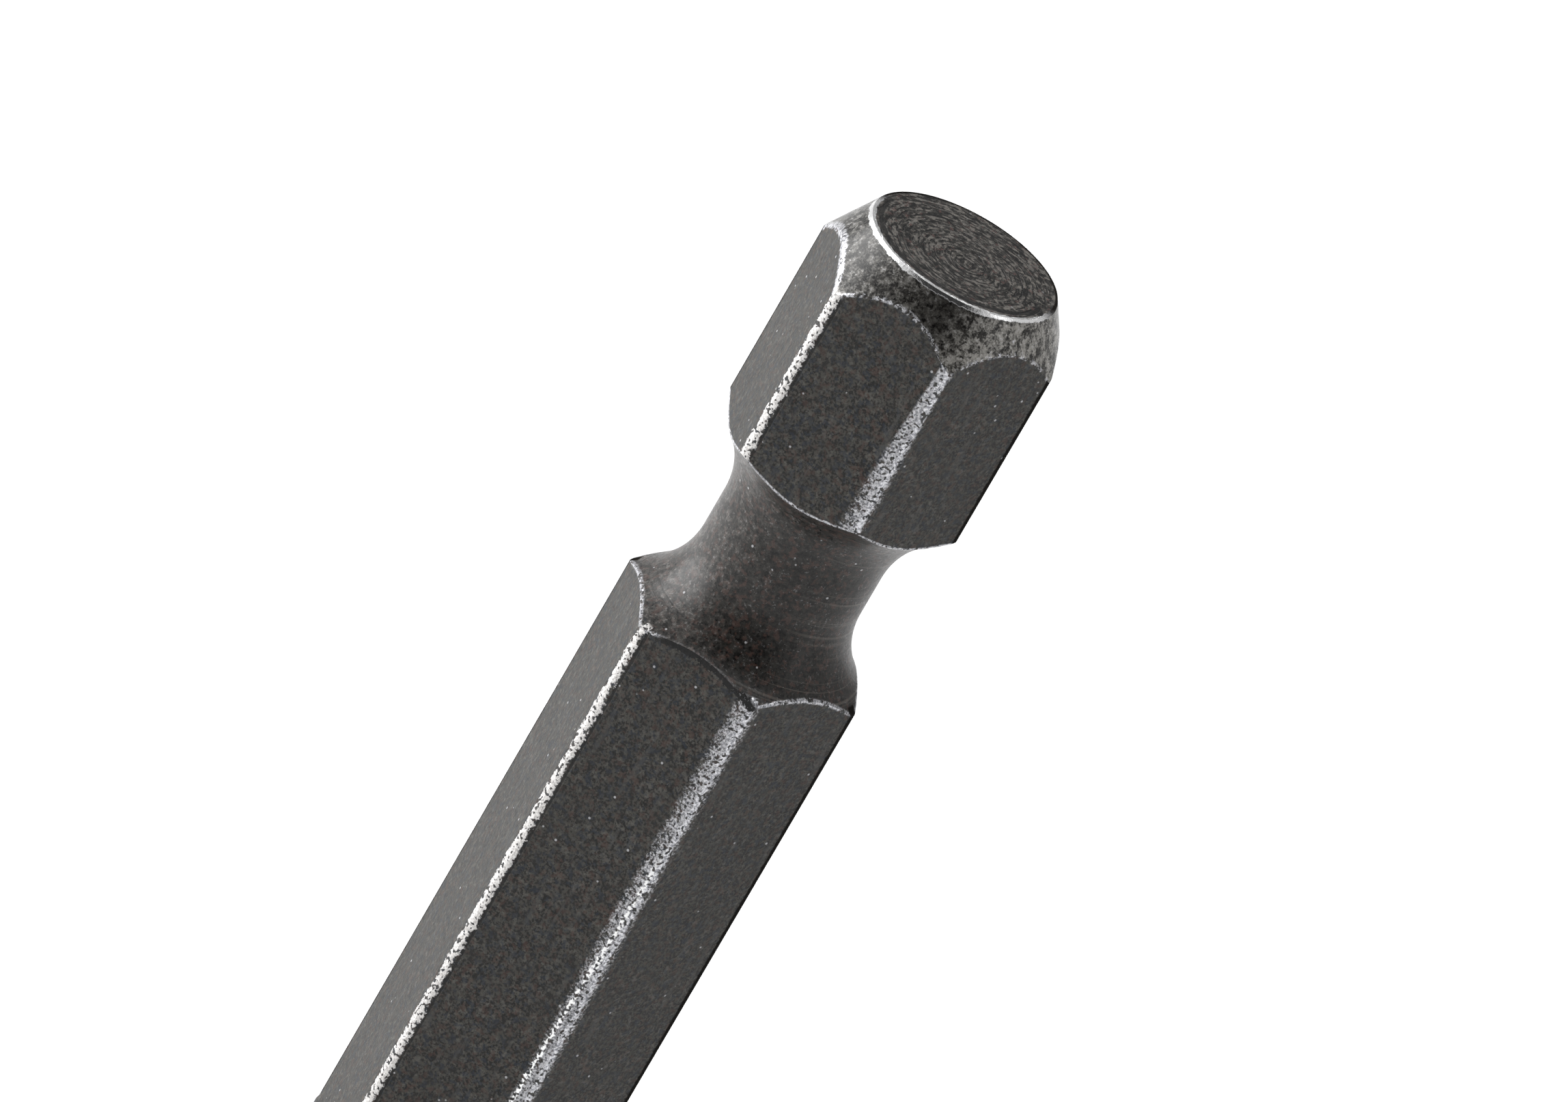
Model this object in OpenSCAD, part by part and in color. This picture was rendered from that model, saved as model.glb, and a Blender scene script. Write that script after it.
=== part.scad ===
// Spring-driven automatic centre punch with a 1/4 inch hex drive shank.
// The point is at the origin and the shank's end face is at the top, along +Z. Millimetres.

/* [Shank] */
// Across flats of the hex shank (1/4 inch power drive)
shank_af = 6.35; // [6.2:0.01:6.4]
// Diameter over the broken corners of the hex
shank_corner_d = 7.24; // [6.8:0.02:7.3]
// Length of hex from the end face to the foot fillet
shank_len = 29.8; // [26:0.1:34]
// Diameter of the flat end face
end_face_d = 5.4; // [5:0.1:6]
// Angle of the end chamfer, measured from the axis
end_chamfer_angle = 30.4; // [25:0.1:45]
// Diameter of the retaining groove's waist
groove_d = 4.7; // [4.4:0.05:5]
// Distance from the end face to the start of the waist
groove_depth = 9.12; // [8.8:0.02:9.4]
// Length of the straight waist
groove_waist = 1.18; // [0.6:0.02:1.6]
// Radius of the two arcs beside the waist
groove_arc_r = 2.65; // [1.5:0.05:3]
// Slope of the groove wall nearer the end face, from the axis
groove_wall_top = 54; // [45:1:60]
// Slope of the groove wall nearer the foot, from the axis
groove_wall_foot = 48; // [40:1:60]
// Radius of the fillet between hex and foot
foot_fillet = 3; // [1:0.1:3.4]
// Diameter of the foot's collar
foot_d = 12; // [10:0.5:13]
// Height of the collar's straight edge
foot_edge = 1.5; // [1:0.1:3]
// Diameter of the threaded plug under the foot
plug_d = 8; // [6:0.5:9]

/* [Cap and lock ring] */
// Outer diameter of the adjusting cap
cap_d = 16; // [15:0.5:18]
// Height of the adjusting cap
cap_h = 20; // [16:1:24]
// Thickness of the cap's solid top
cap_top = 7.8; // [6:0.2:10]
// Outer diameter of the lock ring
ring_d = 16.6; // [16:0.2:19]
// Height of the lock ring
ring_h = 5; // [3:0.5:7]
// Thickness of the washer between ring and cap
washer_h = 0.8; // [0.5:0.1:1.2]
// How far the lock ring can back off
ring_travel = 1; // [0.5:0.1:1.2]
// Major diameter of the adjusting thread
thread_d = 13.2; // [12.8:0.1:13.4]
// Diameter of the spring pin through cap and plug
pin_d = 2; // [1.5:0.1:2.5]

/* [Barrel] */
// Outer diameter of the barrel
barrel_d = 15; // [14.6:0.1:15.4]
// Length of the knurled grip
grip_len = 36; // [24:1:38]
// Diameter of the front bore
front_bore_d = 12.4; // [12.2:0.1:12.6]
// Diameter of the rear bore, where the hammer's body runs
rear_bore_d = 10.56; // [10.4:0.02:10.6]

/* [Nose] */
// Length of the nose ahead of the barrel
nose_len = 15; // [12:0.5:18]
// Diameter of the nose's front face
nose_tip_d = 9.6; // [9.2:0.2:11]
// Across the two spanner flats
nose_flats = 13; // [12:0.5:14]
// Length of the threaded spigot inside the barrel
spigot_len = 14; // [12:0.5:16]
// Thickness of the seal between nose and barrel
seal_h = 1; // [0.8:0.1:1.4]

/* [Plunger and point] */
// Working stroke
stroke = 8; // [6:0.5:8]
// Length of the point below the stem
point_len = 9.5; // [8:0.5:12]
// Included angle of the point
point_angle = 90; // [60:1:120]
// Diameter of the stem that runs in the bush
stem_d = 6; // [5.6:0.1:6.2]
// Length of stem showing at rest
stem_show = 8.5; // [8.2:0.1:12]
// Diameter of the point's tang
tang_d = 3.5; // [3:0.1:4]
// Length of the point's tang
tang_len = 10; // [8:0.5:12]

/* [Hammer and trip] */
// Length of the hammer without its spring spigot
hammer_len = 26; // [24:1:30]
// Height of the trip block
trip_h = 4.5; // [4:0.1:5]
// Width of the trip block
trip_w = 5; // [4:0.2:5.4]
// How far the trip block stands off centre at rest
trip_offset = 0.8; // [0.6:0.1:0.8]
// Diameter of the hole through the trip block
trip_hole_d = 3; // [2.8:0.1:3.2]
// Length of the main spring at rest
spring_rest = 26; // [24:1:32]

/* [Hidden] */
$fn = 96;
run_gap = 0.05;   // radial running clearance
slide_gap = 0.08; // radial clearance of the hammer
tiny = 0.01;

// Levels along the axis, from the point upward
stem_z = point_len;
nose_z = stem_z + stem_show;
seal_z = nose_z + nose_len;
barrel_z = seal_z + seal_h;
stop_z = seal_z + spigot_len;
stop_h = 3;
hammer_z = stop_z + stop_h;
hammer_top = hammer_z + hammer_len;
seat_z = hammer_top + spring_rest;
seat_h = 1.6;
thrust_h = 0.8;
plug_z = seat_z + seat_h + thrust_h + run_gap;
cap_in = plug_z + 0.75;
foot_z = cap_in + cap_top;
cap_z = foot_z - cap_h;
washer_z = cap_z - washer_h;
ring_z = washer_z - ring_h;
neck_relief = 0.5;
neck_z = ring_z - ring_travel - neck_relief;
neck_top = cap_in - 1.8;

// Grooves round the cap and the barrel, and play between parts that only touch
groove_w = 0.8;
groove_in = 0.5;
grip_groove_w = 1;
grip_groove_in = 0.4;
cap_groove_low = 1.4;
cap_groove_top = 5.2;
grip_z = barrel_z + 6;
plug_gap = 0.04;
thread_gap = 0.1;
pin_short = 0.8;
pin_wall = 0.4;
pin_slot = 0.4;

// Shank
corner_r = shank_corner_d / 2;
groove_r = groove_d / 2;
fillet_start_r = corner_r - 0.12; // the corners run into the fillet a little lower
fillet_x = fillet_start_r + foot_fillet * (1 - cos(45));
fillet_h = foot_fillet * sin(45);
cone_h = foot_d / 2 - fillet_x;
hex_z = foot_z + foot_edge + cone_h + fillet_h;
hex_foot_z = hex_z - 1.5;
shank_top = hex_z + shank_len;

// Nose, bush and seals
bush_d = 8.2;
bush_z = nose_z + 3;
bush_top = barrel_z;
chamber_d = 9.2;
spigot_d = front_bore_d - 0.1;
wiper_z = nose_z + 0.8;
wiper_h = 1.4;
nose_step = 4;

// Plunger
flange_d = 8.6;
flange_h = 2;
anvil_d = 6.4;
anvil_top = hammer_z - stroke + 2;
needle_d = 2.6;
upper_stem_d = 4;
flange_z = bush_top + run_gap;
trip_z = hammer_z + 7;
needle_z = hammer_z;
needle_top = trip_z - 0.4;
screw_d = 2.5;
screw_z = stem_z + 5;
screw_in = tang_d / 2 - 0.5;
screw_out = sqrt(pow(stem_d / 2, 2) - pow(screw_d / 2, 2)) - run_gap;
screw_key = 1.3;

// Hammer, trip block and the taper that centres it
hammer_d = rear_bore_d - 2 * slide_gap;
skirt_d = front_bore_d - 2 * slide_gap;
skirt_h = 2.5;
trip_gap = 0.05;
trip_slope = trip_offset / stroke;
taper_z = trip_z + trip_h - 1;
taper_top = taper_z + (front_bore_d - rear_bore_d) / 2 / trip_slope;
trip_r = hammer_d / 2 + run_gap;
slot_end = 4.1;
trip_spring_d = 1.6;
trip_seat_x = -4.8;
trip_pocket_x = -2.2 + trip_offset;
spring_spigot_d = 6.8;
spring_spigot_h = 3;

// A plain tube from z0 to z1; with no inner diameter it is a rod
module tube(z0, z1, d, bore = 0) {
    difference() {
        translate([0, 0, z0]) cylinder(h = z1 - z0, d = d);
        if (bore > 0)
            translate([0, 0, z0 - 1]) cylinder(h = z1 - z0 + 2, d = bore);
    }
}

// A rod with both edges broken at 45 degrees
module broken_rod(z0, z1, d, c0, c1) {
    rotate_extrude()
        polygon([[0, z0], [d / 2 - c0, z0], [d / 2, z0 + c0], [d / 2, z1 - c1], [d / 2 - c1, z1], [0, z1]]);
}

// A turned groove of rectangular section
module ring_cut(z, h, d, depth) {
    difference() {
        translate([0, 0, z]) cylinder(h = h, d = d + 2);
        translate([0, 0, z - 1]) cylinder(h = h + 2, d = d - 2 * depth);
    }
}

// Height of a coil's centreline after n turns: one closed turn at each end, even pitch between
function coil_z(n, turns, length, wire) =
    let (closed = wire * 1.06, pitch = (length - wire - 2 * closed) / (turns - 2))
    n < 1 ? n * closed
    : n < turns - 1 ? closed + (n - 1) * pitch
    : closed + (turns - 2) * pitch + (n - turns + 1) * closed;

// A round-wire compression spring standing on z = 0, swept as one closed tube
module coil_spring(length, d, wire, turns, steps, sides) {
    mean_r = (d - wire) / 2;
    count = turns * steps;
    points = [
        for (i = [0:count], k = [0:sides - 1])
            let (a = 360 * i / steps, b = 360 * k / sides, r = mean_r + wire / 2 * cos(b))
            [r * cos(a), r * sin(a), wire / 2 + coil_z(i / steps, turns, length, wire) + wire / 2 * sin(b)]
    ];
    walls = [
        for (i = [0:count - 1], k = [0:sides - 1])
            let (p = i * sides, q = (k + 1) % sides)
            [p + k, p + sides + k, p + sides + q, p + q]
    ];
    start = [for (k = [0:sides - 1]) k];
    end = [for (k = [sides - 1:-1:0]) count * sides + k];
    polyhedron(points = points, faces = concat(walls, [start], [end]), convexity = 10);
}

// Half section of the bar that the six flats are cut on
module bar_section() {
    chamfer_h = (corner_r - end_face_d / 2) / tan(end_chamfer_angle);
    polygon([
        [0, hex_foot_z], [corner_r, hex_foot_z], [corner_r, shank_top - chamfer_h],
        [end_face_d / 2, shank_top], [0, shank_top]
    ]);
}

// Half section of the foot: collar, cone and fillet
module foot_section() {
    difference() {
        polygon([
            [0, foot_z], [foot_d / 2, foot_z], [foot_d / 2, foot_z + foot_edge],
            [fillet_x, hex_z - fillet_h], [fillet_x, hex_z], [0, hex_z]
        ]);
        translate([fillet_start_r + foot_fillet, hex_z]) circle(r = foot_fillet);
    }
}

// Section of the retaining groove: a waist, an arc each side of it and sloping walls
module groove_section() {
    waist_top = shank_top - groove_depth;
    waist_foot = waist_top - groove_waist;
    top_x = groove_r + groove_arc_r * (1 - cos(groove_wall_top));
    top_z = waist_top + groove_arc_r * sin(groove_wall_top);
    foot_x = groove_r + groove_arc_r * (1 - cos(groove_wall_foot));
    low_z = waist_foot - groove_arc_r * sin(groove_wall_foot);
    out = 5;
    polygon([
        [groove_r, waist_foot], [groove_r, waist_top], [top_x, top_z],
        [out, top_z + (out - top_x) / tan(groove_wall_top)],
        [out, low_z - (out - foot_x) / tan(groove_wall_foot)],
        [foot_x, low_z]
    ]);
    for (z = [waist_foot, waist_top])
        translate([groove_r + groove_arc_r, z]) circle(r = groove_arc_r);
}

// Radial hole for the spring pin
module pin_hole() {
    translate([0, 0, foot_z - cap_top / 2]) rotate([90, 0, 0])
        cylinder(h = cap_d + 2, d = pin_d + plug_gap, center = true);
}

module drive_shank() {
    color("#4b4a49") {
        intersection() {
            rotate_extrude() difference() {
                bar_section();
                groove_section();
            }
            translate([0, 0, hex_foot_z - 1]) linear_extrude(shank_top - hex_foot_z + 2)
                circle(d = shank_af / cos(30), $fn = 6);
        }
        rotate_extrude() foot_section();
        difference() {
            broken_rod(plug_z, foot_z + tiny, plug_d, 0.5, 0);
            pin_hole();
        }
    }
}

module shank_pin() {
    color("#9a9a98")
        translate([0, 0, foot_z - cap_top / 2]) rotate([90, 0, 0]) difference() {
            cylinder(h = cap_d - pin_short, d = pin_d, center = true);
            cylinder(h = cap_d, d = pin_d - 2 * pin_wall, center = true);
            translate([0, pin_d / 2, 0]) cube([pin_slot, pin_d, cap_d], center = true);
        }
}

module adjusting_cap() {
    color("#3a3a3a")
        difference() {
            broken_rod(cap_z, foot_z, cap_d, 0.5, 1);
            translate([0, 0, cap_z - 1]) cylinder(h = cap_in - cap_z + 1, d = thread_d + thread_gap);
            translate([0, 0, cap_in - 1]) cylinder(h = cap_top + 2, d = plug_d + plug_gap);
            ring_cut(cap_z + cap_groove_low, groove_w, cap_d, groove_in);
            ring_cut(foot_z - cap_groove_top, groove_w, cap_d, groove_in);
            pin_hole();
        }
}

module thrust_washer() {
    color("#b08d57")
        tube(seat_z + seat_h, seat_z + seat_h + thrust_h, rear_bore_d - 0.6, 3);
}

module spring_seat() {
    color("#8b8b89")
        difference() {
            union() {
                tube(seat_z, seat_z + seat_h, rear_bore_d - 2 * slide_gap);
                broken_rod(seat_z - spring_spigot_h, seat_z + tiny, spring_spigot_d, 0.6, 0);
            }
            translate([0, 0, seat_z - spring_spigot_h - 1]) cylinder(h = 8, d = 2.5);
        }
}

module main_spring() {
    color("#6f7173")
        translate([0, 0, hammer_top]) coil_spring(spring_rest, 10, 1.4, 8, 20, 8);
}

module lock_washer() {
    color("#9a9a98")
        tube(washer_z, cap_z, cap_d - 0.6, thread_d + 0.2);
}

module lock_ring() {
    color("#3a3a3a")
        difference() {
            broken_rod(ring_z, washer_z, ring_d, 0.6, 0.4);
            translate([0, 0, ring_z - 1]) cylinder(h = ring_h + 2, d = thread_d + thread_gap);
        }
}

module barrel() {
    color("#434342")
        difference() {
            union() {
                broken_rod(barrel_z, neck_z, barrel_d, 0.4, 0.6);
                broken_rod(neck_z - 1, neck_top, thread_d, 0, 0.5);
            }
            translate([0, 0, barrel_z - 1]) cylinder(h = taper_z - barrel_z + 1, d = front_bore_d);
            translate([0, 0, taper_z - tiny])
                cylinder(h = taper_top - taper_z + 2 * tiny, d1 = front_bore_d, d2 = rear_bore_d);
            translate([0, 0, taper_top]) cylinder(h = neck_top - taper_top + 1, d = rear_bore_d);
            ring_cut(grip_z - grip_groove_w, grip_groove_w, barrel_d, grip_groove_in);
            ring_cut(grip_z + grip_len, grip_groove_w, barrel_d, grip_groove_in);
            ring_cut(neck_z, neck_relief, thread_d, grip_groove_in);
        }
}

module nose_seal() {
    color("#1c1c1c")
        rotate_extrude() intersection() {
            translate([barrel_d / 2 - 0.7, seal_z + seal_h / 2]) circle(d = 1.3);
            translate([front_bore_d / 2, seal_z]) square([2, seal_h]);
        }
}

module nose_housing() {
    color("#434342")
        difference() {
            union() {
                rotate_extrude() polygon([
                    [0, nose_z], [nose_tip_d / 2 - 0.4, nose_z], [nose_tip_d / 2, nose_z + 0.4],
                    [barrel_d / 2, seal_z - nose_step], [barrel_d / 2, seal_z - 0.3],
                    [barrel_d / 2 - 0.3, seal_z], [0, seal_z]
                ]);
                broken_rod(seal_z - tiny, stop_z, spigot_d, 0, 0.5);
            }
            translate([0, 0, nose_z - 1]) cylinder(h = 20, d = stem_d + 0.5);
            translate([0, 0, wiper_z]) cylinder(h = wiper_h, d = stem_d + 2.1);
            translate([0, 0, bush_z]) cylinder(h = 20, d = bush_d);
            translate([0, 0, bush_top]) cylinder(h = 20, d = chamber_d);
            for (side = [0, 180]) rotate([0, 0, side])
                translate([nose_flats / 2, -10, seal_z - nose_step]) cube([5, 20, nose_step - 0.8]);
        }
}

module nose_bush() {
    color("#b08d57")
        tube(bush_z, bush_top, bush_d, stem_d + 2 * run_gap);
}

module nose_wiper() {
    color("#1c1c1c")
        rotate_extrude() intersection() {
            translate([stem_d / 2 + 0.6, wiper_z + wiper_h / 2]) circle(d = 1.5);
            translate([stem_d / 2 + run_gap, wiper_z]) square([0.95, wiper_h]);
        }
}

module hammer_stop() {
    color("#8b8b89")
        tube(stop_z, hammer_z, front_bore_d - 0.1, anvil_d + 0.6);
}

module return_spring() {
    spring_z = flange_z + flange_h;
    color("#6f7173")
        translate([0, 0, spring_z]) coil_spring(stop_z - spring_z, 8.2, 0.6, 6, 20, 8);
}

module hammer() {
    color("#7a7a78")
        difference() {
            union() {
                broken_rod(hammer_z, hammer_z + skirt_h, skirt_d, 0.3, 0.3);
                broken_rod(hammer_z, hammer_top, hammer_d, 0, 0.5);
                broken_rod(hammer_top - tiny, hammer_top + spring_spigot_h, spring_spigot_d, 0, 0.6);
            }
            translate([0, 0, hammer_z - 1]) cylinder(h = 9, d = upper_stem_d + 2 * slide_gap);
            translate([0, 0, trip_z]) cylinder(h = trip_h + 3.5, d = trip_hole_d);
            translate([-slot_end, -trip_w / 2 - trip_gap, trip_z])
                cube([20, trip_w + 2 * trip_gap, trip_h + 2 * trip_gap]);
            translate([trip_seat_x, 0, trip_z + trip_h / 2 + trip_gap]) rotate([0, 90, 0])
                cylinder(h = 2, d = trip_spring_d + 0.2);
        }
}

module trip_block() {
    color("#a5a29a")
        translate([trip_offset, 0, trip_z + trip_gap]) difference() {
            intersection() {
                translate([-4, -trip_w / 2, 0]) cube([12, trip_w, trip_h]);
                cylinder(h = trip_h, r = trip_r);
            }
            translate([0, 0, -1]) cylinder(h = trip_h + 2, d = trip_hole_d);
            translate([-5, 0, trip_h / 2]) rotate([0, 90, 0]) cylinder(h = 2.8, d = trip_spring_d + 0.2);
        }
}

module trip_spring() {
    color("#6f7173")
        translate([trip_seat_x, 0, trip_z + trip_h / 2 + trip_gap]) rotate([0, 90, 0])
            coil_spring(trip_pocket_x - trip_seat_x, trip_spring_d, 0.25, 6, 14, 6);
}

module plunger() {
    color("#77777a")
        difference() {
            union() {
                broken_rod(stem_z, flange_z + tiny, stem_d, 0.3, 0);
                broken_rod(flange_z, flange_z + flange_h, flange_d, 0.2, 0.2);
                broken_rod(flange_z, anvil_top, anvil_d, 0, 0.3);
                broken_rod(anvil_top - tiny, needle_z, upper_stem_d, 0, 0.3);
                broken_rod(needle_z - tiny, needle_top, needle_d, 0, 0.3);
            }
            translate([0, 0, stem_z - 1]) cylinder(h = tang_len + 1.5, d = tang_d + 0.04);
            translate([0, 0, screw_z]) rotate([90, 0, 0]) cylinder(h = 5, d = screw_d + 0.02);
        }
}

module point_screw() {
    color("#2c2c2c")
        translate([0, 0, screw_z]) rotate([90, 0, 0]) difference() {
            translate([0, 0, screw_in]) cylinder(h = screw_out - screw_in, d = screw_d);
            translate([0, 0, screw_out - 0.8]) cylinder(h = 2, d = screw_key / cos(30), $fn = 6);
        }
}

module punch_point() {
    tip_r = 0.12;
    cone_r = 1.5;
    tip_h = (cone_r - tip_r) / tan(point_angle / 2);
    collar_z = point_len - 1.5;
    color("#8f8f90")
        difference() {
            rotate_extrude() polygon([
                [0, 0], [tip_r, 0], [cone_r, tip_h], [2.3, collar_z - 0.6], [stem_d / 2 - 0.3, collar_z],
                [stem_d / 2 - 0.1, collar_z + 0.2], [stem_d / 2 - 0.1, point_len],
                [tang_d / 2, point_len], [tang_d / 2, point_len + tang_len - 0.3],
                [tang_d / 2 - 0.3, point_len + tang_len], [0, point_len + tang_len]
            ]);
            translate([-5, -screw_in - 5, screw_z - 2.2]) cube([10, 5, 4.4]);
        }
}

drive_shank();
shank_pin();
adjusting_cap();
thrust_washer();
spring_seat();
main_spring();
lock_washer();
lock_ring();
barrel();
nose_seal();
nose_housing();
nose_bush();
nose_wiper();
hammer_stop();
return_spring();
hammer();
trip_block();
trip_spring();
plunger();
point_screw();
punch_point();
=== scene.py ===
import math

import bmesh
import bpy
from mathutils import Matrix, Vector


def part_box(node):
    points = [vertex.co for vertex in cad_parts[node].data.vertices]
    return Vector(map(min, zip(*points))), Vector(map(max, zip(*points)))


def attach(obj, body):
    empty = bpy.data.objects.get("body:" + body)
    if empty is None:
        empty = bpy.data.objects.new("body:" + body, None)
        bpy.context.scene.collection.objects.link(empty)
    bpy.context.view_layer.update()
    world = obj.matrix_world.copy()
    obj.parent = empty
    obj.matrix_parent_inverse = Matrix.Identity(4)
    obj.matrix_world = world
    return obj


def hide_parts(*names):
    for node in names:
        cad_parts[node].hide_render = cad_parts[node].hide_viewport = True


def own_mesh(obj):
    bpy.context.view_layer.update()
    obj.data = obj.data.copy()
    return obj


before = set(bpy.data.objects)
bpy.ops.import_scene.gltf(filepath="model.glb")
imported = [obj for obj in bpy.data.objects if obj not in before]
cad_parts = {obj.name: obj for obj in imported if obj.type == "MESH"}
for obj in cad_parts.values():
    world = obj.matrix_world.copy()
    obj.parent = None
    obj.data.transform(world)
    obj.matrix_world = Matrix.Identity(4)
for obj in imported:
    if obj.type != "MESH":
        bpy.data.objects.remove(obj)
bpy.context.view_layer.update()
scene = bpy.context.scene
scene.view_settings.view_transform = "Standard"
mm = 0.001


def boxMm(node):  # lowest and highest corner of a CAD node, in millimetres
    low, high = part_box(node)
    return low / mm, high / mm


class Flow:
    # One value in a material. Sums, products and comparisons add their own Math nodes
    def __init__(self, finish, socket):
        self.finish = finish
        self.socket = socket

    def __add__(self, other):
        return self.finish.maths("ADD", self, other)

    def __radd__(self, other):
        return self.finish.maths("ADD", other, self)

    def __sub__(self, other):
        return self.finish.maths("SUBTRACT", self, other)

    def __rsub__(self, other):
        return self.finish.maths("SUBTRACT", other, self)

    def __mul__(self, other):
        return self.finish.maths("MULTIPLY", self, other)

    def __rmul__(self, other):
        return self.finish.maths("MULTIPLY", other, self)

    def __truediv__(self, other):
        return self.finish.maths("DIVIDE", self, other)

    def __pow__(self, other):
        return self.finish.maths("POWER", self, other)

    def __abs__(self):
        return self.finish.maths("ABSOLUTE", self)

    def __gt__(self, other):
        return self.finish.maths("GREATER_THAN", self, other)

    def __lt__(self, other):
        return self.finish.maths("LESS_THAN", self, other)


class Finish:
    # A material, or the world, written as expressions
    def __init__(self, name, tree=None):
        if tree is None:
            self.material = bpy.data.materials.new(name)
            self.material.use_nodes = True
            tree = self.material.node_tree
        self.tree = tree
        self.tree.nodes.clear()

    def feed(self, socket, value):
        if isinstance(value, Flow):
            self.tree.links.new(value.socket, socket)
        elif isinstance(value, (tuple, list)) and socket.type == "RGBA":
            socket.default_value = (*value[:3], 1.0)
        else:
            socket.default_value = value

    def node(self, kind, settings=None, inputs=None, output=0):
        made = self.tree.nodes.new(kind)
        for name, value in (settings or {}).items():
            setattr(made, name, value)
        for key, value in (inputs or {}).items():
            self.feed(made.inputs[key], value)
        return Flow(self, made.outputs[output]) if len(made.outputs) else made

    def maths(self, operation, *values):
        return self.node("ShaderNodeMath", {"operation": operation}, dict(enumerate(values)))

    def least(self, first, *rest):
        for other in rest:
            first = self.maths("MINIMUM", first, other)
        return first

    def most(self, first, *rest):
        for other in rest:
            first = self.maths("MAXIMUM", first, other)
        return first

    def rise(self, value, low, high):  # 0 at low and 1 at high, eased; low may be the larger
        return self.node("ShaderNodeMapRange", {"interpolation_type": "SMOOTHSTEP"},
                         {"Value": value, "From Min": low, "From Max": high, "To Min": 0.0, "To Max": 1.0})

    def tint(self, amount, first, second):  # colours, first at 0 and second at 1
        return self.node("ShaderNodeMix", {"data_type": "RGBA"}, {0: amount, 6: first, 7: second}, output=2)

    def place(self):  # object coordinates in millimetres, whole and split
        here = self.node("ShaderNodeTexCoord", output=3)
        here = self.node("ShaderNodeVectorMath", {"operation": "SCALE"}, {0: here, "Scale": 1 / mm})
        split = self.node("ShaderNodeSeparateXYZ", None, {0: here})
        return here, [Flow(self, part) for part in split.socket.node.outputs]

    def join(self, x, y, z):
        return self.node("ShaderNodeCombineXYZ", None, {0: x, 1: y, 2: z})

    def grain(self, at, perMm, detail=2.0, rough=0.55, shift=0.0):
        if shift:
            away = (shift, shift * 0.7, -shift)
            at = self.node("ShaderNodeVectorMath", {"operation": "ADD"}, {0: at, 1: away})
        return self.node("ShaderNodeTexNoise", None,
                         {"Vector": at, "Scale": perMm, "Detail": detail, "Roughness": rough})

    def cells(self, at, perMm):  # distance to the nearest of scattered points
        return self.node("ShaderNodeTexVoronoi", {"feature": "F1"},
                         {"Vector": at, "Scale": perMm}, output="Distance")

    def surface(self, colour, metal, rough, height=None, depthMm=0.01, strength=1.0, paintedShadeMask=None, **fixed):
        inputs = {"Base Color": colour, "Metallic": metal, "Roughness": rough}
        inputs.update(fixed)
        if height is not None:
            inputs["Normal"] = self.node("ShaderNodeBump", None,
                                         {"Strength": strength, "Distance": depthMm * mm, "Height": height})
        shader = self.node("ShaderNodeBsdfPrincipled", None, inputs)
        if paintedShadeMask is not None:  # painted shade: a black matt layer mixed in where the mask is, darkening outlines
            paintedShadeLook = {"Base Color": (0.010, 0.009, 0.008), "Roughness": 1.0, "Specular IOR Level": 0.0}
            paintedOutlineShade = self.node("ShaderNodeBsdfPrincipled", None, paintedShadeLook)
            shader = self.node("ShaderNodeMixShader", None, {0: paintedShadeMask, 1: shader, 2: paintedOutlineShade})
        self.node("ShaderNodeOutputMaterial", None, {"Surface": shader})
        return self.material


class Outline:
    # A half section in millimetres, drawn as a chain of edges and then spun about the axis
    def __init__(self, radius, height):
        self.bm = bmesh.new()
        self.first = self.last = self.bm.verts.new((radius, 0, height))

    def to(self, *points):
        for radius, height in points:
            new = self.bm.verts.new((radius, 0, height))
            self.bm.edges.new((self.last, new))
            self.last = new
        return self

    def arc(self, radius, height, degrees, steps):  # about a centre, anticlockwise with height upward
        made = bmesh.ops.spin(self.bm, geom=[self.last], cent=(radius, 0, height), axis=(0, 1, 0),
                              angle=-math.radians(degrees), steps=steps)
        self.last = made["geom_last"][0]
        return self

    def close(self):
        self.bm.edges.new((self.last, self.first))
        return self

    def spun(self, steps=128):
        bm = self.bm
        bmesh.ops.spin(bm, geom=bm.verts[:] + bm.edges[:], cent=(0, 0, 0), axis=(0, 0, 1),
                       angle=2 * math.pi, steps=steps, use_merge=True)
        bmesh.ops.remove_doubles(bm, verts=bm.verts[:], dist=1e-4)
        bmesh.ops.dissolve_degenerate(bm, edges=bm.edges[:], dist=1e-5)
        bmesh.ops.recalc_face_normals(bm, faces=bm.faces[:])
        return bm


def crispEdges(bm, degrees=28.0):  # smooth faces, with the real edges kept sharp
    for face in bm.faces:
        face.smooth = True
    for edge in bm.edges:
        edge.smooth = len(edge.link_faces) == 2 and edge.calc_face_angle(3.0) < math.radians(degrees)


def finishPiece(bm, name, body, slot, material, *nodes, sharp=28.0):
    if sharp:
        crispEdges(bm, sharp)
    bmesh.ops.scale(bm, vec=(mm, mm, mm), verts=bm.verts[:])
    mesh = bpy.data.meshes.new(name)
    bm.to_mesh(mesh)
    bm.free()
    mesh.materials.append(material)
    piece = bpy.data.objects.new(name, mesh)
    scene.collection.objects.link(piece)
    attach(piece, body)
    if nodes:
        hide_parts(*nodes)
    return piece


def fillHoles(bm):
    rims = [edge for edge in bm.edges if edge.is_boundary]
    bmesh.ops.holes_fill(bm, edges=rims, sides=0)
    bmesh.ops.recalc_face_normals(bm, faces=bm.faces[:])


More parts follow.
